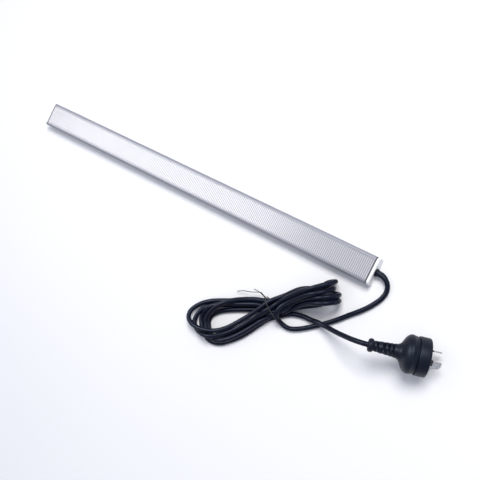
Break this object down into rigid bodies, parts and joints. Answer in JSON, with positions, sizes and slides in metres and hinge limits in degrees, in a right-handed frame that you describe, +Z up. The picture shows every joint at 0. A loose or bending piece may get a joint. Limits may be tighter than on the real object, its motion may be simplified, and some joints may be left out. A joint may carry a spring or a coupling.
{
  "type": "led light bar",
  "caption": "Slim linear lamp: aluminium channel with a ribbed diffuser, white end caps, and a black mains cord folded into a tied hank that ends in a moulded flat-pin plug.",
  "frame": {"origin": "middle of the bar's flat bottom face, on the surface it lies on", "axes": "+X along the bar towards the cord, +Y across the bar away from the cord's hank, +Z up through the lens"},
  "size_m": [0.6134, 0.1715, 0.0466],
  "materials": {
    "aluminium": "satin anodised, rounded shoulders a little darker at grazing light",
    "lens": "frosted translucent with fine ribs across",
    "cap": "satin white moulding",
    "gasket": "matt dark grey",
    "board_white": "white solder mask",
    "phosphor": "yellow phosphor, lamp off",
    "tray": "milky insulating film",
    "board_green": "green solder mask",
    "package": "black moulded package",
    "fuse": "glazed tan ceramic",
    "can": "dark shrink sleeve",
    "tinned": "tinned copper",
    "steel": "zinc plated steel",
    "nickel": "plain flat metal, slightly satin",
    "sleeve": "black insulating sleeve",
    "rubber": "smooth black PVC, soft sheen",
    "tie": "black coated wire",
    "brown": "brown insulation",
    "blue": "blue insulation",
    "earth": "green and yellow insulation",
    "red": "red insulation",
    "black": "black insulation"
  },
  "bodies": {
    "root": {"bridge_rectifier": "package", "cord_hank": "rubber", "cord_lead_in": "rubber", "cord_lead_out": "rubber", "driver_board": "board_green", "driver_chip": "package", "earth_screw": "steel", "earth_terminal": "tinned", "end_cap_blind": "cap", "end_cap_cable": "cap", "fuse": "fuse", "gasket_blind": "gasket", "gasket_cable": "gasket", "inductor": "package", "input_capacitor": "can", "insulating_tray": "tray", "led_01": "phosphor", "led_02": "phosphor", "led_03": "phosphor", "led_04": "phosphor", "led_05": "phosphor", "led_06": "phosphor", "led_07": "phosphor", "led_08": "phosphor", "led_09": "phosphor", "led_10": "phosphor", "led_11": "phosphor", "led_12": "phosphor", "led_13": "phosphor", "led_14": "phosphor", "led_15": "phosphor", "led_16": "phosphor", "led_17": "phosphor", "led_18": "phosphor", "led_board": "board_white", "lens": "lens", "output_capacitor": "can", "pin_earth": "nickel", "pin_live": "nickel", "pin_neutral": "nickel", "plug_body": "rubber", "plug_face": "rubber", "profile": "aluminium", "sleeve_live": "sleeve", "sleeve_neutral": "sleeve", "strain_relief": "rubber", "wire_earth": "earth", "wire_led_minus": "black", "wire_led_plus": "red", "wire_live": "brown", "wire_neutral": "blue", "wire_tie": "tie"}
  },
  "joints": []
}
